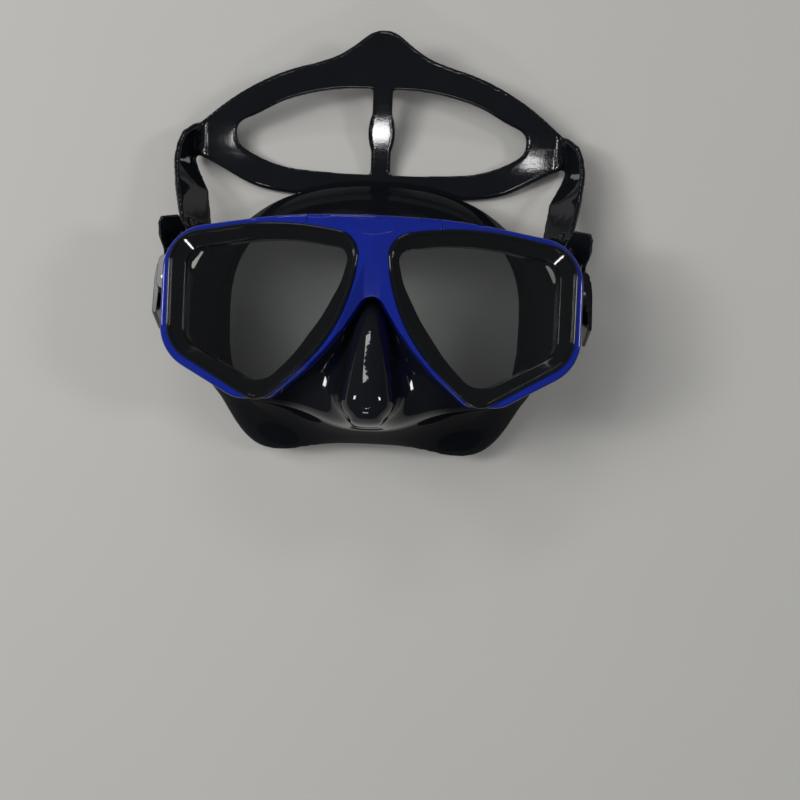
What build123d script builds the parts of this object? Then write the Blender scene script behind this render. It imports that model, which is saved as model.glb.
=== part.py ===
from build123d import *
from math import cos, radians, sin, tan
import os

# Twin-lens snorkel mask, lying lens side up with its strap folded forward past the forehead.
#
# Millimetres. +X is the right of the mask as it lies, +Y points to the forehead and the strap,
# +Z points up, out of the lenses. The origin is under the middle of the whole object.
# The outlines are drawn from a datum on the centre line, level with the bottom of the lens rims.

# ---- driving dimensions ------------------------------------------------------------------
datum_y = -63.5  # where the outlines' own zero lies along Y

# The two lens planes, hinged at the centre line like a shallow roof.
lens_height = 64.0  # front face of the glass at the centre line
lens_tilt = 6.0  # each lens drops towards its temple, in degrees

# Depths are measured along each lens plane from the front face of the glass.
glass_thickness = 4.0
rim_proud = 2.4  # the rim stands this far in front of the glass
rim_lip = 1.4  # flat width of the rim's outer lip
rim_step = 0.5  # drop from the lip to the head of the bevel
rim_ledge = 0.3  # level strip between the step and the bevel
rim_edge = 0.3  # height of the bevel's foot above the glass
rabbet_width = 2.2  # how far the glass reaches in behind the rim's lip
seat_clearance = 0.05
frame_proud = 1.5  # the coloured frame stands this far in front of the glass
frame_skirt_depth = 9.0  # the coloured frame's wall reaches this far behind the glass
frame_wall = 2.0
frame_round = 1.1
rim_round = 0.6
rear_frame_depth = 10.0  # back of the black frame, where the skirt begins
bezel_clearance = 0.1
badge_depth = 0.8  # the bare recess in the top bar
scoop_top_y = 52.6  # the hollow over the nose starts here and runs down to the nose arch
scoop_slope = 12.0
scoop_half_floor = 3.2
scoop_flank = 24.4  # slope of the hollow's two sides, in degrees
scoop_depth = 8.0
scoop_length = 60.0
rail_y = 67.0  # middle of the top rail
rail_reach = 10.0  # a cut this long crosses the whole rail
seam_x = 25.7  # joint line across the top rail
seam_width = 0.4
seam_depth = 0.4
rail_ledge_x = 17.0  # between here and the seam the rail's top edge is stepped down
rail_ledge_width = 1.2
rail_ledge_depth = 0.5

# Corners of the outlines in the right-hand lens plane: X, Y, corner radius.
opening_corners = [
    (72.6, 54.9, 7.5), (37.5, 60.9, 90.0), (8.9, 56.8, 4.9), (11.7, 44.1, 30.0), (18.9, 30.2, 60.0),
    (29.5, 15.1, 60.0), (38.9, 5.7, 9.0), (46.5, 5.7, 9.0), (72.5, 19.6, 8.0),
]
rim_corners = [
    (79.0, 59.9, 12.5), (36.5, 67.3, 110.0), (5.0, 62.0, 9.4), (6.4, 45.4, 60.0), (11.6, 29.4, 60.0),
    (20.4, 16.1, 60.0), (39.4, -2.0, 8.4), (45.2, -2.0, 8.4), (78.8, 17.5, 15.0),
]
centre_overlap = 4.0  # each half is drawn this far past the centre line and cut there
frame_corners = [
    (-centre_overlap, 69.7, 0.0), (33.0, 69.3, 200.0), (81.4, 61.8, 18.0), (81.6, 14.9, 18.0),
    (51.5, -1.8, 12.0), (38.1, -1.8, 7.0), (24.1, 10.2, 40.0), (16.2, 18.8, 40.0), (10.6, 26.4, 30.0),
    (3.0, 38.9, 5.2), (-centre_overlap, 38.9, 0.0),
]
badge_corners = [
    (-16.7, 68.2, 1.0), (16.7, 68.2, 1.0), (11.0, 65.2, 8.0), (0.0, 61.4, 12.0), (-11.0, 65.2, 8.0),
]

# Skirt: half outlines from the forehead round the temple to the upper lip.
skirt_wall = 2.0
skirt_roof = 2.0  # the web behind the black frame, open at each lens
skirt_lift = 16.0  # the seal's edge arches this high over brow and lip
skirt_rest_x = 61.0  # outboard of this the edge is flat and lies on the ground
skirt_outer = {
    0.0: [(0, 90.3), (22, 88.2), (38, 83.8), (52, 74.8), (62, 62), (67, 47), (68, 30), (66.5, 10),
          (62.5, -2), (56.5, -12.5), (47, -20.8), (35, -23.8), (20, -22.4), (0, -20.2)],
    14.0: [(0, 89.6), (22, 87.5), (38, 83), (52, 74.3), (62.6, 62), (68, 47), (69, 30), (67.3, 10),
           (62, -2), (55, -12), (46, -19.8), (35, -22.6), (20, -21.4), (0, -19.8)],
    30.0: [(0, 79.5), (22, 78.5), (40, 74.5), (54, 67.5), (64.5, 58), (70, 46), (71.5, 30), (69, 12),
           (62, 1), (52.5, -6.5), (43, -11.5), (33, -13.8), (20, -14.6), (0, -15.4)],
    46.0: [(0, 64.5), (22, 65), (42, 63.6), (57, 61), (67.5, 55.5), (72.4, 45), (73.2, 31), (71, 16),
           (62.5, 6.5), (52, 0), (43, -3), (33, -3.8), (19, -7.8), (0, -12.2)],
    62.0: [(0, 63), (22, 64), (42, 63), (57, 60.6), (67.5, 55.5), (72.4, 45), (73.2, 31), (71, 16),
           (62.5, 6.5), (52, 0), (43, -3), (33, -3.8), (19, -7.8), (0, -12.2)],
}
skirt_inner = {
    -1.0: [(0, 74), (22, 73), (37, 69.5), (48, 63.5), (56, 55), (59.6, 44), (60, 30), (58, 14),
           (53, 3), (46, -5), (38, -9.6), (29, -11.4), (17, -11.6), (0, -11.4)],
    14.0: [(0, 83.5), (22, 81.5), (37, 77), (50, 69.5), (59.6, 58.5), (64, 46), (65, 30), (63, 12),
           (58, 1), (51, -7.5), (43, -14), (33, -17.6), (19, -17.5), (0, -16)],
    30.0: [(0, 76.5), (22, 75.5), (39, 71.8), (52.4, 65.2), (62, 56.6), (67.4, 45.4), (68.8, 30),
           (66.4, 13), (60, 3), (51.2, -4), (42, -8.8), (33, -11), (20, -11.8), (0, -12.8)],
    46.0: [(0, 62), (22, 62.6), (41.5, 61.2), (56, 58.6), (65.6, 53.6), (70, 44.4), (70.8, 31),
           (68.6, 17.2), (61, 8.8), (51.4, 2.8), (42.6, 0), (33, -0.8), (18, -5), (0, -9.6)],
    62.0: [(0, 61), (22, 61.8), (41.5, 60.6), (56, 58.2), (65.6, 53.6), (70, 44.4), (70.8, 31),
           (68.6, 17.2), (61, 8.8), (51.4, 2.8), (42.6, 0), (33, -0.8), (18, -5), (0, -9.6)],
}
nose_outer = {
    42.0: [(0, 39.2), (4.4, 37), (9.4, 26), (13.8, 14), (15.8, 4), (13.6, -4.4), (8, -9.4), (0, -11.2)],
    55.0: [(0, 38.4), (3.6, 36), (7.4, 26), (10.8, 14), (12.8, 3), (11.4, -5), (6.6, -9.8), (0, -11.4)],
    62.0: [(0, 30), (3.6, 27.6), (6.6, 20), (9.2, 11), (11.2, 2), (10.2, -4.6), (5.8, -9.2), (0, -10.8)],
    68.5: [(0, 15), (3, 13.8), (5.6, 10.4), (7.8, 5.8), (9.2, 0), (8.2, -4.8), (4.8, -8), (0, -9.2)],
    72.8: [(0, 5), (1.6, 4.6), (3, 3.2), (4, 1.2), (4.4, -1), (3.6, -3.2), (2, -4.6), (0, -5.2)],
}
skirt_reach = 200.0

# Strap.
strap_thickness = 2.4
strap_width = 16.0
strap_end_x = 76.0  # the split back panel ends here and its side bands begin
panel_top_edge = [(9, 147.4), (18, 141.7), (38, 135.4), (62, 124)]
panel_low_edge = [(66, 94.9), (52, 88.4), (38, 86.1)]
panel_peak_y = 151.0
panel_low_y = 84.4
panel_end_top_y = 113.6
panel_end_low_y = 99.6
panel_end_z = 7.4  # middle of the panel's thickness at its end
panel_slope = [(80, -0.9), (118, 9.6), (156, 25.5)]  # underside of the back panel: Y, Z
slot_tip = (61.0, 110.0)
slot_top_edge = [(17, 128.5), (30, 126.4), (43, 122.3), (55, 116.4)]
slot_low_edge = [(56, 102.8), (44, 97.9), (29, 95.9), (15, 95.2)]
slot_top_y = 129.0
slot_low_y = 95.2
centre_bar_half = 4.2
centre_bar_swell = 5.7
centre_bar_swell_length = 15.0
panel_rise = 40.0  # taller than the panel's highest point

# Stations of the side band and of the free tail: centre, direction across, direction along, and the
# share of the strap's width there. Both lean outward at the top and the band settles into the panel.
# The first stations and the tail are measured from the loop's two arms, the others from the panel's end.
band_leaving = [
    ((-2.6, 11.8, -4.1), (0.42, 0.25, 0.87), (-0.30, 0.92, -0.25), 1.0),
    ((-3.8, 21.8, -7.7), (0.68, 0.10, 0.73), (0.05, 0.94, -0.34), 1.0),
]
band_joining = [
    ((1.6, -22.6, 9.6), (0.62, -0.20, 0.76), (0.32, 0.89, -0.32), 1.0),
    ((4.9, -11.6, 5.4), (0.42, 0.0, 0.91), (0.15, 0.95, -0.28), 0.98),
    ((5.4, -6.1, 3.8), (0.30, 0.20, 0.93), (-0.10, 0.96, -0.25), 0.95),
    ((4.3, -2.0, 2.5), (0.18, 0.50, 0.85), (-0.60, 0.75, -0.25), 0.93),
    ((1.8, -0.3, 1.1), (0.05, 0.80, 0.60), (-0.97, 0.15, -0.15), 0.91),
    ((-0.8, 0.0, 0.0), (0.0, 0.96, 0.27), (-1.0, 0.0, 0.0), 0.89),
]
tail_leaving = [
    ((-0.6, 6.8, 0.1), (0.05, 0.15, 0.99), (-0.10, 0.98, -0.15), 1.0),
    ((-2.0, 12.4, 2.9), (0.50, 0.05, 0.87), (-0.30, 0.93, 0.12), 1.0),
    ((-2.4, 17.9, 6.4), (0.62, 0.0, 0.79), (-0.10, 0.99, 0.08), 0.9),
    ((-1.6, 21.6, 8.9), (0.60, -0.2, 0.77), (0.10, 0.98, 0.18), 0.57),
]

# Swivel buckle. Its own coordinates: along the strap's pull, across the strap, and X.
pivot_y = 36.0
pivot_drop = 29.0  # the swivel lies this far below the glass at the centre line
buckle_dip = 20.0  # the buckle points this far below +Y, in degrees
lug_inset = 6.7  # from the frame's widest corner to the lug's inner face
lug_thickness = 2.4
lug_radius = 8.0
lug_root = 1.9  # the lug runs this far up into the rear frame
swivel_gap = 0.3
post_radius = 3.0
running_clearance = 0.05
hub_thickness = 3.0
hub_radius = 10.3
hub_reach = 8.0
cheek_thickness = 1.8
cheek_gap = 0.4  # between the strap's edge and each cheek
cheek_reach = 15.6
cheek_height = 8.2
cheek_start = -1.0
cheek_shoulder = 2.0  # the cheek is at its full height from here on
cheek_tip_round = 2.5
cheek_round = 3.0
cap_radius = 3.9
cap_thickness = 1.2
cap_round = 0.5
screw_length = 2.6
slot_width = 0.9
slot_depth = 0.5
screw_radius = 1.4
roller_along = 13.0
roller_radius = 1.7
pin_radius = 0.8
pin_fit = 0.02
strap_roller_gap = 0.25
loop_thickness = 1.6
joint_step = 0.2  # each band starts this much slimmer inside the loop's arm
loop_arm = 3.2  # straight run of the strap each side of the roller
band_lead = 0.5  # each band runs on straight this far past the arm before it turns
lever_along = 5.8
lever_barrel_radius = 1.7
lever_thickness = 1.6
lever_thumb_reach = 9.0
lever_pawl_reach = 12.6
lever_side_gap = 0.3
lever_crown = 0.5  # the plate is this much thicker over its pin
lever_crown_round = 30.0
lever_tip_round = 0.7
lever_pawl_round = 0.9
lever_heel_round = 0.5
spring_wire_radius = 0.22
spring_turns = 4
spring_pitch = 1.1
spring_room = 2.9  # half the gap between the lever's two barrels
spring_radius = 1.2

# ---- derived places ----------------------------------------------------------------------
pivot_z = lens_height - pivot_drop
lug_inner_x = max(x for x, y, radius in frame_corners) - lug_inset
lug_rise = lug_root - rear_frame_depth - lug_inner_x * tan(radians(lens_tilt)) + pivot_drop
hub_inner_x = lug_inner_x + lug_thickness + swivel_gap
hub_outer_x = hub_inner_x + hub_thickness
post_end_x = hub_outer_x + swivel_gap
cheek_inner = strap_width / 2 + cheek_gap
cheek_outer = cheek_inner + cheek_thickness
loop_inner_radius = roller_radius + strap_roller_gap
loop_outer_radius = loop_inner_radius + loop_thickness
roller_x = hub_inner_x + loop_outer_radius
lever_face_x = roller_x + loop_outer_radius + strap_roller_gap
lever_x = lever_face_x - spring_radius - spring_wire_radius - strap_roller_gap
lever_half_width = cheek_inner - lever_side_gap
lens_axis = Axis((0, 0, 0), (sin(radians(lens_tilt)), 0, cos(radians(lens_tilt))))
pull = Vector(0, cos(radians(buckle_dip)), -sin(radians(buckle_dip)))
across_strap = Vector(0, sin(radians(buckle_dip)), cos(radians(buckle_dip)))
scoop_half_top = scoop_half_floor + scoop_depth / tan(radians(scoop_flank))
scoop_plane = Plane(origin=(0, datum_y + scoop_top_y, lens_height + frame_proud), x_dir=(1, 0, 0),
                    z_dir=(0, -cos(radians(scoop_slope)), -sin(radians(scoop_slope))))
pivot = Vector(0, datum_y + pivot_y, pivot_z)


def level(z):
    """A horizontal plane at height z, with its zero at the datum."""
    return Plane(origin=(0, datum_y, z))


def lens_plane(depth):
    """The right-hand lens plane, a depth behind the front face of the glass."""
    tilt = radians(lens_tilt)
    plane = Plane(origin=(0, datum_y, lens_height), x_dir=(cos(tilt), 0, -sin(tilt)),
                  z_dir=(sin(tilt), 0, cos(tilt)))
    return plane.offset(-depth)


def side_plane():
    """The centre plane: sketch X runs along +Y from the datum, sketch Y runs up."""
    return Plane(origin=(0, datum_y, 0), x_dir=(0, 1, 0), z_dir=(1, 0, 0))


def deck(x):
    """A plane across the swivel axis at x: sketch X along the pull, sketch Y across the strap."""
    return Plane(origin=pivot + Vector(x, 0, 0), x_dir=pull, z_dir=(1, 0, 0))


def pin_plane(along, x):
    """A plane across a buckle pin: sketch X along the pull, sketch Y along +X."""
    return Plane(origin=pivot + pull * along + Vector(x, 0, 0), x_dir=pull, z_dir=-across_strap)


def outline(corners):
    """A closed outline with a rounded corner at each point."""
    FilletPolyline(*[(x, y) for x, y, _ in corners], radius=[r for _, _, r in corners], close=True)


def mirrored(source, label):
    """The left-hand twin of a right-hand piece."""
    with BuildPart() as twin:
        mirror(source.part, about=Plane.YZ)
    twin.part.label = label
    return twin


def join_halves(half):
    """Inside a part: a whole piece from its right-hand half, cut at the centre line and mirrored."""
    add(half.part)
    split(bisect_by=Plane.YZ, keep=Keep.TOP)
    mirror(about=Plane.YZ)


os.makedirs("parts", exist_ok=True)

# ---- lens rims: a raised lip, a step and a bevel down to the glass, a rabbet behind -------
with BuildPart() as lens_rim_right:
    with BuildSketch(lens_plane(glass_thickness)) as rim_face:
        with BuildLine():
            outline(rim_corners)
        make_face()
    extrude(amount=glass_thickness + rim_proud)
    front = lens_rim_right.faces().sort_by(lens_axis)[-1]
    fillet(front.outer_wire().edges(), rim_round)
    with BuildSketch(lens_plane(rim_step - rim_proud)):
        add(rim_face.sketch_local)
        offset(amount=-rim_lip)
    extrude(amount=rim_step, mode=Mode.SUBTRACT)
    with BuildSketch(lens_plane(rim_step - rim_proud)) as bevel_head:
        add(rim_face.sketch_local)
        offset(amount=-(rim_lip + rim_ledge))
    with BuildSketch(lens_plane(-rim_edge)) as opening:
        with BuildLine():
            outline(opening_corners)
        make_face()
    loft([bevel_head.sketch.face(), opening.sketch.face()], ruled=True, mode=Mode.SUBTRACT)
    with BuildSketch(lens_plane(glass_thickness)):
        add(opening.sketch_local)
    extrude(amount=glass_thickness + rim_edge, mode=Mode.SUBTRACT)
    with BuildSketch(lens_plane(glass_thickness)):
        add(opening.sketch_local)
        offset(amount=rabbet_width)
    extrude(amount=glass_thickness, mode=Mode.SUBTRACT)
lens_rim_right.part.label = "lens_rim_right"
export_step(lens_rim_right.part, "parts/lens_rim_right.step")

lens_rim_left = mirrored(lens_rim_right, "lens_rim_left")
export_step(lens_rim_left.part, "parts/lens_rim_left.step")

# ---- lenses: flat glass, a seat clearance smaller than the rabbet -------------------------
with BuildPart() as lens_right:
    with BuildSketch(lens_plane(glass_thickness)):
        add(opening.sketch_local)
        offset(amount=rabbet_width - seat_clearance)
    extrude(amount=glass_thickness - seat_clearance)
lens_right.part.label = "lens_right"
export_step(lens_right.part, "parts/lens_right.step")

lens_left = mirrored(lens_right, "lens_left")
export_step(lens_left.part, "parts/lens_left.step")

# ---- front frame: the coloured shell round both rims, arched over the nose ----------------
with BuildPart() as front_frame_half:
    with BuildSketch(lens_plane(frame_skirt_depth)) as frame_face:
        with BuildLine():
            outline(frame_corners)
        make_face()
    extrude(amount=frame_skirt_depth + frame_proud)
    front = front_frame_half.faces().sort_by(lens_axis)[-1]
    fillet(front.outer_wire().edges().filter_by(lambda edge: edge.center().X > 0), frame_round)
    with BuildSketch(lens_plane(glass_thickness)):
        add(rim_face.sketch_local)
        offset(amount=bezel_clearance)
    extrude(amount=glass_thickness + frame_proud, mode=Mode.SUBTRACT)
    with BuildSketch(lens_plane(frame_skirt_depth)) as frame_pocket:
        add(frame_face.sketch_local)
        offset(amount=-frame_wall)
    extrude(amount=frame_skirt_depth - glass_thickness, mode=Mode.SUBTRACT)
    with BuildSketch(lens_plane(seam_depth - frame_proud)):
        with Locations((seam_x, rail_y)):
            Rectangle(seam_width, rail_reach)
    extrude(amount=seam_depth, mode=Mode.SUBTRACT)
    with BuildSketch(lens_plane(rail_ledge_depth - frame_proud)):
        add(frame_face.sketch_local)
        offset(amount=-rail_ledge_width, mode=Mode.SUBTRACT)
        with Locations(((rail_ledge_x + seam_x) / 2, rail_y)):
            Rectangle(seam_x - rail_ledge_x, rail_reach, mode=Mode.INTERSECT)
    extrude(amount=rail_ledge_depth, mode=Mode.SUBTRACT)

with BuildPart() as front_frame:
    join_halves(front_frame_half)
    with BuildSketch(level(lens_height + frame_proud - badge_depth)):
        with BuildLine():
            outline(badge_corners)
        make_face()
    extrude(amount=badge_depth * 2, mode=Mode.SUBTRACT)
    with BuildSketch(scoop_plane):
        with BuildLine():
            Polyline((-scoop_half_floor, 0), (scoop_half_floor, 0), (scoop_half_top, scoop_depth),
                     (-scoop_half_top, scoop_depth), close=True)
        make_face()
    extrude(amount=scoop_length, mode=Mode.SUBTRACT)
front_frame.part.label = "front_frame"
export_step(front_frame.part, "parts/front_frame.step")

# ---- rear frame: the black carrier behind the glass, with the side lugs and swivel posts --
with BuildPart() as rear_frame_half:
    with BuildSketch(lens_plane(rear_frame_depth)):
        add(frame_face.sketch_local)
        offset(amount=-(frame_wall + bezel_clearance))
    extrude(amount=rear_frame_depth - glass_thickness)
    with BuildSketch(lens_plane(rear_frame_depth)):
        add(opening.sketch_local)
    extrude(amount=rear_frame_depth - glass_thickness, mode=Mode.SUBTRACT)
    with BuildSketch(deck(lug_inner_x)):
        Circle(lug_radius)
    extrude(amount=lug_thickness)
    with BuildSketch(Plane(origin=pivot + Vector(lug_inner_x, 0, 0), x_dir=(0, 1, 0), z_dir=(1, 0, 0))):
        with Locations((0, lug_rise / 2)):
            Rectangle(2 * lug_radius, lug_rise)
    extrude(amount=lug_thickness)
    with BuildSketch(deck(lug_inner_x + lug_thickness)):
        Circle(post_radius)
    extrude(amount=post_end_x - lug_inner_x - lug_thickness)
    with BuildSketch(deck(lug_inner_x)):
        Circle(screw_radius + pin_fit)
    extrude(amount=post_end_x - lug_inner_x, mode=Mode.SUBTRACT)

with BuildPart() as rear_frame:
    join_halves(rear_frame_half)
rear_frame.part.label = "rear_frame"
export_step(rear_frame.part, "parts/rear_frame.step")


# ---- skirt: one soft moulding, the face cavity and the nose pocket ------------------------
def shrunk(points, wall):
    """A half outline that has lost a wall at its side and at both ends."""
    widest = max(x for x, y in points)
    middle = (points[0][1] + points[-1][1]) / 2
    half_length = (points[0][1] - points[-1][1]) / 2
    return [(x * (1 - wall / widest), middle + (y - middle) * (1 - wall / half_length)) for x, y in points]


def soft_form(sections):
    """A smooth closed body through level sections, each drawn as half an outline."""
    with BuildPart() as form:
        for height, points in sections.items():
            with BuildSketch(level(height)):
                with BuildLine():
                    Spline(*points, tangents=[(1, 0), (-1, 0)])
                    mirror(about=Plane.YZ)
                make_face()
        loft()
    return form.part


nose_inner = {height - skirt_wall: shrunk(points, skirt_wall) for height, points in nose_outer.items()}


def under_frame(depth):
    """The two cutting planes a depth behind the glass, right and left."""
    right = lens_plane(depth)
    foot = Vector(-right.origin.X, right.origin.Y, right.origin.Z)
    normal = Vector(-right.z_dir.X, 0, right.z_dir.Z)
    return right, Plane(origin=foot, x_dir=(1, 0, right.z_dir.X / right.z_dir.Z), z_dir=normal)


with BuildPart() as skirt_cavity:
    add(soft_form(skirt_inner))
    for plane in under_frame(rear_frame_depth + skirt_roof):
        split(bisect_by=plane, keep=Keep.BOTTOM)
    add(soft_form(nose_inner))

with BuildPart() as skirt:
    add(soft_form(skirt_outer))
    for plane in under_frame(rear_frame_depth):
        split(bisect_by=plane, keep=Keep.BOTTOM)
    add(soft_form(nose_outer))
    add(skirt_cavity.part, mode=Mode.SUBTRACT)
    with BuildSketch(lens_plane(rear_frame_depth + 2 * skirt_roof)):
        add(opening.sketch_local)
    lens_hole = extrude(amount=3 * skirt_roof, mode=Mode.SUBTRACT)
    mirror(lens_hole, about=Plane.YZ, mode=Mode.SUBTRACT)
    with BuildSketch(Plane.XZ):
        with BuildLine():
            ThreePointArc((-skirt_rest_x, 0), (0, skirt_lift), (skirt_rest_x, 0))
            Line((-skirt_rest_x, 0), (skirt_rest_x, 0))
        make_face()
    extrude(amount=skirt_reach, both=True, mode=Mode.SUBTRACT)
skirt.part.label = "skirt"
export_step(skirt.part, "parts/skirt.step")

# ---- strap: split back panel, twisting side bands, a loop round each roller and a tail ----
slot_middle_y = (slot_top_y + slot_low_y) / 2
with BuildSketch() as strap_slots:
    with BuildLine():
        top = Spline((centre_bar_half, slot_top_y), *slot_top_edge, slot_tip, tangents=[(1, 0), (0, -1)])
        low = Spline(slot_tip, *slot_low_edge, (centre_bar_half, slot_low_y), tangents=[(0, -1), (-1, 0)])
        swell = ThreePointArc((centre_bar_half, slot_middle_y - centre_bar_swell_length / 2),
                              (centre_bar_swell, slot_middle_y),
                              (centre_bar_half, slot_middle_y + centre_bar_swell_length / 2))
        Line(low @ 1, swell @ 0)
        Line(swell @ 1, top @ 0)
    make_face()
    mirror(about=Plane.YZ)

with BuildPart() as strap_panel:
    with BuildSketch(level(0)):
        with BuildLine():
            Spline((0, panel_peak_y), *panel_top_edge, (strap_end_x, panel_end_top_y),
                   tangents=[(1, 0), (5, -4)])
            Line((strap_end_x, panel_end_top_y), (strap_end_x, panel_end_low_y))
            Spline((strap_end_x, panel_end_low_y), *panel_low_edge, (0, panel_low_y),
                   tangents=[(-5, -2), (-1, 0)])
            mirror(about=Plane.YZ)
        make_face()
        add(strap_slots.sketch, mode=Mode.SUBTRACT)
    extrude(amount=panel_rise)
    with BuildSketch(side_plane().offset(-strap_end_x)):
        with BuildLine():
            under = ThreePointArc(*panel_slope)
            over = ThreePointArc(*[(y, z + strap_thickness) for y, z in panel_slope])
            Line(under @ 0, over @ 0)
            Line(under @ 1, over @ 1)
        make_face()
    extrude(amount=2 * strap_end_x, mode=Mode.INTERSECT)


def stations(origin, route):
    """A route's stations in place, measured from an origin."""
    return [(origin + Vector(*centre), *rest) for centre, *rest in route]


def band(start, route, start_thickness, end_thickness):
    """A flat band from inside the loop's arm through its stations."""
    with BuildPart() as length:
        for run in (0, loop_arm + band_lead):
            with BuildSketch(Plane(origin=start + pull * run, x_dir=across_strap, z_dir=pull)):
                Rectangle(strap_width - 2 * joint_step, start_thickness - joint_step)
        for centre, across, along, share in route:
            with BuildSketch(Plane(origin=centre, x_dir=across, z_dir=along)):
                Rectangle(strap_width * share, end_thickness)
        loft(ruled=True)
    return length.part


# The strap doubles round the roller: an upright loop, open towards the strap's pull.
with BuildPart() as strap_loop:
    with BuildSketch(pin_plane(roller_along, roller_x)):
        Circle(loop_outer_radius)
        with Locations((loop_arm / 2, 0)):
            Rectangle(loop_arm, 2 * loop_outer_radius)
        Circle(loop_inner_radius, mode=Mode.SUBTRACT)
        with Locations((loop_outer_radius / 2 + loop_arm, 0)):
            Rectangle(loop_outer_radius + 2 * loop_arm, 2 * loop_inner_radius, mode=Mode.SUBTRACT)
        with Locations((loop_arm + loop_outer_radius, 0)):
            Rectangle(2 * loop_outer_radius, 4 * loop_outer_radius, mode=Mode.SUBTRACT)
    extrude(amount=strap_width / 2, both=True)

loop_side = loop_inner_radius + loop_thickness / 2
band_start = pivot + pull * roller_along + Vector(roller_x - loop_side, 0, 0)
tail_start = pivot + pull * roller_along + Vector(roller_x + loop_side, 0, 0)
panel_end_y = (panel_end_top_y + panel_end_low_y) / 2
panel_end = Vector(strap_end_x, datum_y + panel_end_y, panel_end_z)

free_tail = band(tail_start, stations(tail_start, tail_leaving), loop_thickness, loop_thickness)
side_band_stations = stations(band_start, band_leaving) + stations(panel_end, band_joining)
side_band = band(band_start, side_band_stations, loop_thickness, strap_thickness)

with BuildPart() as strap:
    add(strap_loop.part)
    add(free_tail)
    add(side_band)
    mirror(about=Plane.YZ)
    add(strap_panel.part)
strap.part.label = "strap"
export_step(strap.part, "parts/strap.step")

# ---- buckle body: hub plate and two cheeks that carry the roller and the lever ------------
with BuildPart() as buckle_body_right:
    with BuildSketch(deck(hub_inner_x)):
        Circle(hub_radius)
        with Locations((hub_reach / 2, 0)):
            Rectangle(hub_reach, 2 * cheek_outer)
        with Locations((hub_reach + hub_radius / 2, 0)):
            Rectangle(hub_radius, 2 * cheek_outer, mode=Mode.SUBTRACT)
    extrude(amount=hub_thickness)
    for side in (-1, 1):
        cheek_plane = pin_plane(0, hub_inner_x).offset(-side * cheek_inner)
        with BuildSketch(cheek_plane):
            with BuildLine():
                FilletPolyline((cheek_start, 0), (cheek_reach, 0), (cheek_reach, cheek_height),
                               (cheek_shoulder, cheek_height), (cheek_start, hub_thickness),
                               radius=[0, cheek_tip_round, cheek_round, cheek_round, 0], close=True)
            make_face()
        extrude(amount=-side * cheek_thickness)
    with BuildSketch(deck(hub_inner_x)):
        Circle(post_radius + running_clearance)
    extrude(amount=hub_thickness, mode=Mode.SUBTRACT)
    for along, x in ((roller_along, roller_x), (lever_along, lever_x)):
        with BuildSketch(pin_plane(along, x)):
            Circle(pin_radius + pin_fit)
        extrude(amount=cheek_outer, both=True, mode=Mode.SUBTRACT)
buckle_body_right.part.label = "buckle_body_right"
export_step(buckle_body_right.part, "parts/buckle_body_right.step")

buckle_body_left = mirrored(buckle_body_right, "buckle_body_left")
export_step(buckle_body_left.part, "parts/buckle_body_left.step")

# ---- swivel screw: a flat cap on the post's end that keeps the buckle on -------------------
with BuildPart() as swivel_screw_right:
    with BuildSketch(deck(post_end_x)):
        Circle(cap_radius)
    extrude(amount=cap_thickness)
    fillet(swivel_screw_right.edges().filter_by(GeomType.CIRCLE).sort_by(Axis.X)[-1], cap_round)
    with BuildSketch(deck(post_end_x)):
        Circle(screw_radius)
    extrude(amount=-screw_length)
    with BuildSketch(deck(post_end_x + cap_thickness)):
        Rectangle(2 * cap_radius, slot_width)
    extrude(amount=-slot_depth, mode=Mode.SUBTRACT)
swivel_screw_right.part.label = "swivel_screw_right"
export_step(swivel_screw_right.part, "parts/swivel_screw_right.step")

swivel_screw_left = mirrored(swivel_screw_right, "swivel_screw_left")
export_step(swivel_screw_left.part, "parts/swivel_screw_left.step")

# ---- strap roller on its pin ----------------------------------------------------------------
with BuildPart() as strap_roller_right:
    with BuildSketch(pin_plane(roller_along, roller_x)):
        Circle(roller_radius)
        Circle(pin_radius + running_clearance, mode=Mode.SUBTRACT)
    extrude(amount=cheek_inner - running_clearance, both=True)
strap_roller_right.part.label = "strap_roller_right"
export_step(strap_roller_right.part, "parts/strap_roller_right.step")

strap_roller_left = mirrored(strap_roller_right, "strap_roller_left")
export_step(strap_roller_left.part, "parts/strap_roller_left.step")

with BuildPart() as roller_pin_right:
    with BuildSketch(pin_plane(roller_along, roller_x)):
        Circle(pin_radius)
    extrude(amount=cheek_outer, both=True)
roller_pin_right.part.label = "roller_pin_right"
export_step(roller_pin_right.part, "parts/roller_pin_right.step")

roller_pin_left = mirrored(roller_pin_right, "roller_pin_left")
export_step(roller_pin_left.part, "parts/roller_pin_left.step")

# ---- release lever: thumb plate, barrel round its pin and the pawl over the strap's teeth --
with BuildPart() as release_lever_right:
    with BuildSketch(pin_plane(0, lever_face_x)):
        with BuildLine():
            FilletPolyline((-lever_thumb_reach, 0), (lever_pawl_reach, 0),
                           (lever_pawl_reach, lever_thickness), (lever_along, lever_thickness + lever_crown),
                           (-lever_thumb_reach, lever_thickness),
                           radius=[lever_heel_round, 0, lever_pawl_round, lever_crown_round, lever_tip_round],
                           close=True)
        make_face()
    extrude(amount=lever_half_width, both=True)
    with BuildSketch(pin_plane(lever_along, lever_x)):
        Circle(lever_barrel_radius)
        with Locations((0, lever_barrel_radius / 2)):
            Rectangle(2 * lever_barrel_radius, lever_barrel_radius)
    extrude(amount=lever_half_width, both=True)
    with BuildSketch(pin_plane(lever_along, lever_x)):
        Circle(pin_radius + running_clearance)
    extrude(amount=lever_half_width, both=True, mode=Mode.SUBTRACT)
    with BuildSketch(pin_plane(lever_along, lever_face_x)):
        with Locations((0, -lever_barrel_radius)):
            Rectangle(3 * lever_barrel_radius, 2 * lever_barrel_radius)
    extrude(amount=spring_room, both=True, mode=Mode.SUBTRACT)
release_lever_right.part.label = "release_lever_right"
export_step(release_lever_right.part, "parts/release_lever_right.step")

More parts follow.
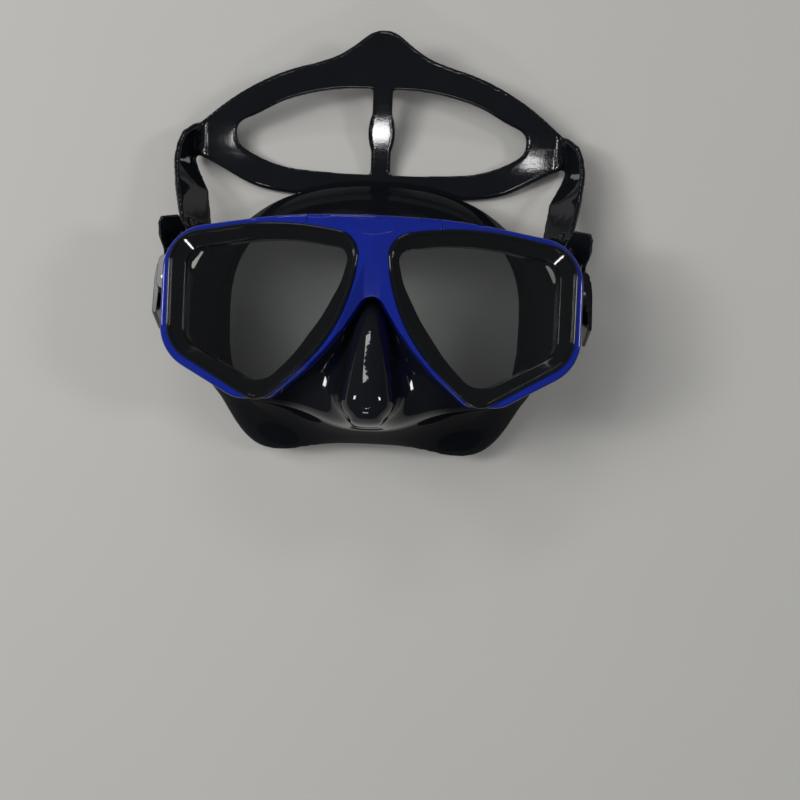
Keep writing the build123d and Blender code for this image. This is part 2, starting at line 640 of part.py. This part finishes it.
release_lever_left = mirrored(release_lever_right, "release_lever_left")
export_step(release_lever_left.part, "parts/release_lever_left.step")

with BuildPart() as lever_pin_right:
    with BuildSketch(pin_plane(lever_along, lever_x)):
        Circle(pin_radius)
    extrude(amount=cheek_outer, both=True)
lever_pin_right.part.label = "lever_pin_right"
export_step(lever_pin_right.part, "parts/lever_pin_right.step")

lever_pin_left = mirrored(lever_pin_right, "lever_pin_left")
export_step(lever_pin_left.part, "parts/lever_pin_left.step")

# ---- lever spring: a torsion coil round the lever's pin ------------------------------------
with BuildPart() as lever_spring_right:
    spring_length = spring_turns * spring_pitch
    spring_foot = pin_plane(lever_along, lever_x).offset(-spring_length / 2).origin
    with BuildLine() as coil:
        Helix(spring_pitch, spring_length, spring_radius, center=spring_foot, direction=-across_strap)
    with BuildSketch(Plane(origin=coil.line @ 0, z_dir=coil.line % 0)):
        Circle(spring_wire_radius)
    sweep()
lever_spring_right.part.label = "lever_spring_right"
export_step(lever_spring_right.part, "parts/lever_spring_right.step")

lever_spring_left = mirrored(lever_spring_right, "lever_spring_left")
export_step(lever_spring_left.part, "parts/lever_spring_left.step")
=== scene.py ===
import bpy
from math import pi, radians, sin
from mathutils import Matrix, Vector


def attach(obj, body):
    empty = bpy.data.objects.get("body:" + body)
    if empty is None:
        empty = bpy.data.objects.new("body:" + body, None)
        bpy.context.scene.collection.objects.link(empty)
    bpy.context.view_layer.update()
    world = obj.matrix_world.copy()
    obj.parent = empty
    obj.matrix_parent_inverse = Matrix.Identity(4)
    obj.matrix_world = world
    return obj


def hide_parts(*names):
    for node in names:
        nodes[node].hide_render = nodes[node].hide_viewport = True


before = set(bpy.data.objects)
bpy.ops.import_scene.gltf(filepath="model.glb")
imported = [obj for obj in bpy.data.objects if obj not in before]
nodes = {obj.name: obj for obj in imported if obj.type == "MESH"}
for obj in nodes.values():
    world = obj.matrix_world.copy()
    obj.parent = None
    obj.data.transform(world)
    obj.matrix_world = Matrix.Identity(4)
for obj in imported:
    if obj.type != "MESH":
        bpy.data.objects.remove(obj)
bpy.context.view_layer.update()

# ---- Camera -------------------------------------------------------------------------------
# It hangs over the mask and looks straight down, a little to its right, turned a few degrees.
# The view is the plain one, with no tone curve.
camera_place = (0.0124, -0.0635, 0.5566)
camera_turn = 2.4  # degrees
focal_length = 58.5  # millimetres, as is the sensor's width
sensor_width = 36.0
camera_data = bpy.data.cameras.new("camera")
camera_data.lens = focal_length
camera_data.sensor_width = sensor_width
camera = bpy.data.objects.new("camera", camera_data)
camera.location = camera_place
camera.rotation_euler = (0.0, 0.0, radians(camera_turn))
bpy.context.collection.objects.link(camera)
bpy.context.scene.camera = camera
bpy.context.scene.view_settings.view_transform = "Standard"

# ---- Ground -------------------------------------------------------------------------------
# A wide pale sheet of matt board under the mask, very faintly mottled.
# It reaches far past the view on every side.
floor_half = 6.0  # metres
floor_tone = (0.485, 0.478, 0.455, 1.0)
floor_shade = (0.470, 0.464, 0.442, 1.0)
mottle_scale = 9.0
board_roughness = 0.75
board_specular = 0.3


def new_material(name):
    """An empty node material, its Principled shader already joined to the output."""
    material = bpy.data.materials.new(name)
    material.use_nodes = True
    shader = material.node_tree.nodes["Principled BSDF"]
    return material, material.node_tree, shader


def paint(piece, material):
    """Puts one material over the whole of a piece."""
    if not piece.material_slots:
        piece.data.materials.append(material)
    for slot in piece.material_slots:
        slot.material = material


def deselect():
    """Leaves edit mode with nothing selected."""
    if bpy.context.mode != "OBJECT":
        bpy.ops.object.mode_set(mode="OBJECT")
    bpy.ops.object.select_all(action="DESELECT")


deselect()
bpy.ops.mesh.primitive_plane_add(size=2 * floor_half, location=(0.0, 0.0, 0.0))
ground = bpy.context.object
ground.name = "ground"
board, board_tree, board_shader = new_material("matt_board")
mottle = board_tree.nodes.new("ShaderNodeTexNoise")
mottle.inputs["Scale"].default_value = mottle_scale
mottle.inputs["Detail"].default_value = 3.0
where = board_tree.nodes.new("ShaderNodeTexCoord")
blend_tone = board_tree.nodes.new("ShaderNodeMix")
blend_tone.data_type = "RGBA"
blend_tone.inputs[6].default_value = floor_tone
blend_tone.inputs[7].default_value = floor_shade
board_tree.links.new(where.outputs["Object"], mottle.inputs["Vector"])
board_tree.links.new(mottle.outputs["Fac"], blend_tone.inputs["Factor"])
board_tree.links.new(blend_tone.outputs[2], board_shader.inputs["Base Color"])
board_shader.inputs["Roughness"].default_value = board_roughness
board_shader.inputs["Specular IOR Level"].default_value = board_specular
paint(ground, board)

# ---- Studio light -------------------------------------------------------------------------
# A dim sky, a broad diffuser high on the left that gives the soft shadow, and small bright panels
# whose reflections draw the edges of the gloss.
sky_tone = (0.90, 0.93, 1.0, 1.0)
sky_strength = 0.08
on_floor = (0.0, 0.0, 0.0)  # the three points that the lamps are turned to
on_nose = (0.0, 0.0, 0.03)
on_frame = (0.0, 0.0, 0.05)


def panel_light(name, place, aim, size, power, shows=True):
    """A rectangular lamp turned towards a point. Where it doesn't show, it lights but isn't mirrored."""
    data = bpy.data.lights.new(name, "AREA")
    data.shape = "RECTANGLE"
    data.size, data.size_y = size
    data.energy = power
    lamp = bpy.data.objects.new(name, data)
    lamp.location = place
    lamp.rotation_euler = (Vector(aim) - Vector(place)).to_track_quat("-Z", "Y").to_euler()
    lamp.visible_glossy = shows
    lamp.visible_transmission = shows
    bpy.context.collection.objects.link(lamp)
    return lamp


world = bpy.data.worlds.new("sky")
world.use_nodes = True
bpy.context.scene.world = world
sky = world.node_tree.nodes["Background"]
sky.inputs["Color"].default_value = sky_tone
sky.inputs["Strength"].default_value = sky_strength
panel_light("diffuser", (-0.85, 0.25, 1.15), on_floor, (0.8, 0.8), 11.5, shows=False)
panel_light("fill_sheet", (0.2, -0.2, 2.4), on_floor, (2.6, 2.6), 7.0, shows=False)
panel_light("window_wide", (-0.05, -0.62, 1.5), on_nose, (0.07, 0.05), 0.32)
panel_light("window_slim", (0.09, -0.62, 1.5), on_nose, (0.035, 0.05), 0.16)
panel_light("window_far_left", (-0.26, -0.58, 1.5), on_nose, (0.03, 0.025), 0.06)
panel_light("window_far_right", (0.21, -0.555, 1.5), on_nose, (0.03, 0.025), 0.06)
panel_light("left_panel", (-1.10, 0.07, 1.10), on_frame, (0.22, 0.30), 4.2)
panel_light("right_panel", (1.10, 0.07, 1.10), on_frame, (0.20, 0.26), 3.6)
panel_light("head_panel", (-0.25, 1.05, 1.05), on_frame, (0.55, 0.18), 2.4)
panel_light("foot_panel", (-0.10, -1.20, 1.05), on_frame, (0.45, 0.16), 1.8)

# ---- Coloured front frame -----------------------------------------------------------------
# One injection moulding in saturated blue plastic, polished, that grips both lens rims from in
# front and arches over the nose. Its corners are only just broken.
corner_round = 0.0005  # metres
clear_coat = 0.3
coat_roughness = 0.05


def moulding_group():
    """Faint flow in a moulded surface: tone drift, gloss drift and a fine ripple, from place alone."""
    group = bpy.data.node_groups.new("moulded_surface", "ShaderNodeTree")
    face = group.interface
    for name in ("Scale", "Gloss Low", "Gloss High", "Grain Scale"):
        face.new_socket(name=name, in_out="INPUT", socket_type="NodeSocketFloat")
    for name in ("Tone A", "Tone B"):
        face.new_socket(name=name, in_out="INPUT", socket_type="NodeSocketColor")
    face.new_socket(name="Colour", in_out="OUTPUT", socket_type="NodeSocketColor")
    for name in ("Roughness", "Height"):
        face.new_socket(name=name, in_out="OUTPUT", socket_type="NodeSocketFloat")
    inside, outside = group.nodes.new("NodeGroupInput"), group.nodes.new("NodeGroupOutput")
    place = group.nodes.new("ShaderNodeTexCoord")
    drift = group.nodes.new("ShaderNodeTexNoise")
    drift.inputs["Detail"].default_value = 2.0
    grain = group.nodes.new("ShaderNodeTexNoise")
    grain.inputs["Detail"].default_value = 2.0
    tone = group.nodes.new("ShaderNodeMix")
    tone.data_type = "RGBA"
    gloss = group.nodes.new("ShaderNodeMapRange")
    ripple = group.nodes.new("ShaderNodeMath")
    ripple.operation = "MULTIPLY_ADD"
    ripple.inputs[1].default_value = 0.25
    link = group.links.new
    link(place.outputs["Object"], drift.inputs["Vector"])
    link(place.outputs["Object"], grain.inputs["Vector"])
    link(inside.outputs["Scale"], drift.inputs["Scale"])
    link(inside.outputs["Grain Scale"], grain.inputs["Scale"])
    link(drift.outputs["Fac"], tone.inputs["Factor"])
    link(inside.outputs["Tone A"], tone.inputs[6])
    link(inside.outputs["Tone B"], tone.inputs[7])
    link(grain.outputs["Fac"], gloss.inputs["Value"])
    link(inside.outputs["Gloss Low"], gloss.inputs["To Min"])
    link(inside.outputs["Gloss High"], gloss.inputs["To Max"])
    link(grain.outputs["Fac"], ripple.inputs[0])
    link(drift.outputs["Fac"], ripple.inputs[2])
    link(tone.outputs[2], outside.inputs["Colour"])
    link(gloss.outputs["Result"], outside.inputs["Roughness"])
    link(ripple.outputs["Value"], outside.inputs["Height"])
    return group


moulded_surface = moulding_group()
flow_scale = 60.0  # waves of tone drift to the metre
fine_scale = 1500.0  # and of the fine grain
ripple_height = 0.001


def moulded(name, tone_a, tone_b, gloss, ripple=0.02, coat=0.0, edge=0.0):
    """A moulded plastic or rubber finish: two close tones, a range of gloss and a slight ripple.

    edge is the radius to which the mould rounds its sharp corners.
    """
    material, tree, shader = new_material(name)
    surface = tree.nodes.new("ShaderNodeGroup")
    surface.node_tree = moulded_surface
    surface.inputs["Scale"].default_value = flow_scale
    surface.inputs["Grain Scale"].default_value = fine_scale
    surface.inputs["Gloss Low"].default_value = gloss[0]
    surface.inputs["Gloss High"].default_value = gloss[1]
    surface.inputs["Tone A"].default_value = (*tone_a, 1.0)
    surface.inputs["Tone B"].default_value = (*tone_b, 1.0)
    bump = tree.nodes.new("ShaderNodeBump")
    bump.inputs["Strength"].default_value = ripple
    bump.inputs["Distance"].default_value = ripple_height
    tree.links.new(surface.outputs["Colour"], shader.inputs["Base Color"])
    tree.links.new(surface.outputs["Roughness"], shader.inputs["Roughness"])
    tree.links.new(surface.outputs["Height"], bump.inputs["Height"])
    tree.links.new(bump.outputs["Normal"], shader.inputs["Normal"])
    if edge:
        corner = tree.nodes.new("ShaderNodeBevel")
        corner.samples = 6
        corner.inputs["Radius"].default_value = edge
        tree.links.new(corner.outputs["Normal"], bump.inputs["Normal"])
    shader.inputs["Coat Weight"].default_value = coat
    shader.inputs["Coat Roughness"].default_value = coat_roughness
    return material


blue_plastic = moulded("polished_blue", (0.004, 0.013, 0.19), (0.006, 0.018, 0.24), (0.05, 0.09),
                       coat=clear_coat, edge=corner_round)
paint(nodes["front_frame"], blue_plastic)

# ---- Lens rims ----------------------------------------------------------------------------
# A bezel round each glass, moulded in black plastic and mirror polished.
# It lies in the front frame and holds the glass in a rabbet behind its lip.
sides = ("left", "right")
rim_gloss = moulded("piano_black", (0.003, 0.0034, 0.004), (0.005, 0.0054, 0.006), (0.03, 0.06),
                    coat=clear_coat, edge=corner_round)
for side in sides:
    paint(nodes["lens_rim_" + side], rim_gloss)

# ---- Lenses -------------------------------------------------------------------------------
# Flat tempered glass, clear and clean, cut to the shape of each rim.
# Less light comes through it than goes past it, so its shadow is tinted.
glass_tone = (0.93, 0.95, 0.945, 1.0)
glass_shadow = (0.54, 0.55, 0.55, 1.0)
glass, glass_tree, glass_shader = new_material("tempered_glass")
glass_shader.inputs["Base Color"].default_value = glass_tone
glass_shader.inputs["Transmission Weight"].default_value = 1.0
glass_shader.inputs["Roughness"].default_value = 0.0
glass_shader.inputs["IOR"].default_value = 1.5
daylight = glass_tree.nodes.new("ShaderNodeBsdfTransparent")
daylight.inputs["Color"].default_value = glass_shadow
passes = glass_tree.nodes.new("ShaderNodeLightPath")
through = glass_tree.nodes.new("ShaderNodeMixShader")
glass_tree.links.new(passes.outputs["Is Shadow Ray"], through.inputs["Fac"])
glass_tree.links.new(glass_shader.outputs["BSDF"], through.inputs[1])
glass_tree.links.new(daylight.outputs["BSDF"], through.inputs[2])
glass_tree.links.new(through.outputs["Shader"], glass_tree.nodes["Material Output"].inputs["Surface"])
for side in sides:
    paint(nodes["lens_" + side], glass)

# ---- Rear frame and buckles ---------------------------------------------------------------
# The carrier behind the glass and the buckles that swivel on it: black nylon mouldings, a softer
# gloss than the rims. Their screws, pins and springs are stainless steel.
nylon = moulded("black_nylon", (0.006, 0.006, 0.007), (0.011, 0.011, 0.012), (0.10, 0.22),
                ripple=0.05, edge=0.0003)
steel = moulded("stainless_steel", (0.55, 0.55, 0.56), (0.62, 0.62, 0.62), (0.18, 0.30))
steel.node_tree.nodes["Principled BSDF"].inputs["Metallic"].default_value = 1.0
paint(nodes["rear_frame"], nylon)
for side in sides:
    for name in ("buckle_body", "strap_roller", "release_lever"):
        paint(nodes[f"{name}_{side}"], nylon)
    for name in ("swivel_screw", "roller_pin", "lever_pin", "lever_spring"):
        paint(nodes[f"{name}_{side}"], steel)

# ---- Skirt --------------------------------------------------------------------------------
# One soft silicone moulding: the seal against the face and the nose pocket, run together with
# broad fillets and no seams.
sheen_low = 0.14  # the coat's weight away from the nose, where it is full
sheen_roughness = 0.06


def nose_mask(tree):
    """1 over the nose pocket above the frame, falling to 0 at its sides, top and foot."""
    place = tree.nodes.new("ShaderNodeTexCoord")
    apart = tree.nodes.new("ShaderNodeSeparateXYZ")
    aside = tree.nodes.new("ShaderNodeMath")
    aside.operation = "ABSOLUTE"
    tree.links.new(place.outputs["Object"], apart.inputs["Vector"])
    tree.links.new(apart.outputs["X"], aside.inputs[0])
    mask = None
    for source, start, end in (
        (aside.outputs["Value"], 0.034, 0.022),
        (apart.outputs["Y"], -0.026, -0.036),
        (apart.outputs["Z"], 0.038, 0.046),
    ):
        limit = tree.nodes.new("ShaderNodeMapRange")
        limit.interpolation_type = "SMOOTHSTEP"
        limit.inputs["From Min"].default_value = start
        limit.inputs["From Max"].default_value = end
        tree.links.new(source, limit.inputs["Value"])
        if mask is None:
            mask = limit.outputs["Result"]
            continue
        both = tree.nodes.new("ShaderNodeMath")
        both.operation = "MULTIPLY"
        tree.links.new(mask, both.inputs[0])
        tree.links.new(limit.outputs["Result"], both.inputs[1])
        mask = both.outputs["Value"]
    return mask


silicone = moulded("black_silicone", (0.004, 0.0045, 0.0065), (0.007, 0.0078, 0.010), (0.20, 0.30),
                   ripple=0.03)
silicone_tree = silicone.node_tree
silicone_shader = silicone_tree.nodes["Principled BSDF"]
silicone_shader.inputs["Specular IOR Level"].default_value = 0.0
sheen = silicone_tree.nodes.new("ShaderNodeMapRange")
sheen.inputs["To Min"].default_value = sheen_low
silicone_tree.links.new(nose_mask(silicone_tree), sheen.inputs["Value"])
silicone_tree.links.new(sheen.outputs["Result"], silicone_shader.inputs["Coat Weight"])
silicone_shader.inputs["Coat Roughness"].default_value = sheen_roughness


def soft_copy(node, name, voxel):
    """A CAD solid's own mesh, merged and rebuilt in even small faces."""
    deselect()
    piece = bpy.data.objects.new(name, nodes[node].data.copy())
    bpy.context.collection.objects.link(piece)
    piece.select_set(True)
    bpy.context.view_layer.objects.active = piece
    bpy.ops.object.mode_set(mode="EDIT")
    bpy.ops.mesh.select_all(action="SELECT")
    bpy.ops.mesh.remove_doubles(threshold=0.00001)
    bpy.ops.object.mode_set(mode="OBJECT")
    if piece.data.has_custom_normals:
        bpy.ops.mesh.customdata_custom_splitnormals_clear()
    rebuild = piece.modifiers.new("rebuild", "REMESH")
    rebuild.mode = "VOXEL"
    rebuild.voxel_size = voxel
    bpy.ops.object.modifier_apply(modifier=rebuild.name)
    return piece


def relax(piece, passes, share=None):
    """Smooths a piece, all over or as far as share, a function of a place, says for each point."""
    deselect()
    bpy.context.view_layer.objects.active = piece
    piece.select_set(True)
    smooth = piece.modifiers.new("relax", "SMOOTH")
    smooth.factor = 0.5
    smooth.iterations = passes
    if share:
        group = piece.vertex_groups.new(name="soft")
        for vertex in piece.data.vertices:
            amount = share(vertex.co)
            if amount > 0.0:
                group.add([vertex.index], amount, "REPLACE")
        smooth.vertex_group = group.name
    bpy.ops.object.modifier_apply(modifier=smooth.name)
    if share:
        piece.vertex_groups.clear()


def ramp(value, start, end):
    """0 at start, 1 at end, straight between and level beyond."""
    return min(max((value - start) / (end - start), 0.0), 1.0)


def band_of(value, start, full, fade, end):
    """Rises from start to full, stays, then falls from fade to end."""
    return ramp(value, start, full) * (1.0 - ramp(value, fade, end))


lip_flare = 0.0075  # the mouth side's wall is drawn in this far, so that its edge flares as a flap
flare_low, flare_high = 0.013, 0.043  # heights between which it is drawn in


def flare_inward(piece):
    """Draws the wall on the mouth side in between its lip and the frame, more outside than inside."""
    points = piece.data.vertices
    facings = [vertex.normal.copy() for vertex in points]
    for vertex, facing in zip(points, facings):
        place = vertex.co
        if place.y > -0.056 or not flare_low < place.z < flare_high:
            continue
        height = sin(pi * (place.z - flare_low) / (flare_high - flare_low))
        along = band_of(abs(place.x), 0.016, 0.030, 0.048, 0.064)
        outside = ramp(-facing.y, -0.3, 0.5)
        vertex.co.y += lip_flare * height * along * (0.5 + 0.5 * outside) * ramp(-place.y, 0.056, 0.066)


def cheek_melt(place):
    """The hollow between the nose and each lens, where the mould runs the forms together."""
    hollow = band_of(abs(place.x), 0.009, 0.014, 0.040, 0.050) * ramp(-place.y, 0.044, 0.056)
    foot = band_of(abs(place.x), 0.004, 0.009, 0.040, 0.050) * ramp(-place.y, 0.068, 0.073)
    hollow *= band_of(place.z, 0.022, 0.030, 0.056, 0.062)
    foot *= band_of(place.z, 0.022, 0.030, 0.060, 0.068)
    return max(hollow, foot)


def nose_tip(place):
    """The nose pocket above the frame."""
    tip = ramp(-place.y, 0.040, 0.055) * ramp(place.z, 0.044, 0.050)
    return tip * (1.0 - ramp(abs(place.x), 0.014, 0.020))


def hem(place):
    """The lowest part of the wall, where it thins to the sealing lip."""
    return 1.0 - ramp(place.z, 0.020, 0.034)


skirt = soft_copy("skirt", "silicone_skirt", 0.0008)
flare_inward(skirt)
relax(skirt, 400, cheek_melt)
relax(skirt, 60, nose_tip)
relax(skirt, 40, hem)
relax(skirt, 16)
bpy.ops.object.shade_smooth()
paint(skirt, silicone)
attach(skirt, "mask")
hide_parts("skirt")

# ---- Strap --------------------------------------------------------------------------------
# One silicone moulding, glossier than the skirt: a split back panel and two side bands, each with
# a loop round its buckle's roller and a free tail.
glossy_silicone = moulded("glossy_silicone", (0.004, 0.0045, 0.006), (0.007, 0.0078, 0.010), (0.03, 0.06))
strap = soft_copy("strap", "silicone_strap", 0.0005)
relax(strap, 14)
bpy.ops.object.shade_smooth()
paint(strap, glossy_silicone)
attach(strap, "strap")
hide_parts("strap")
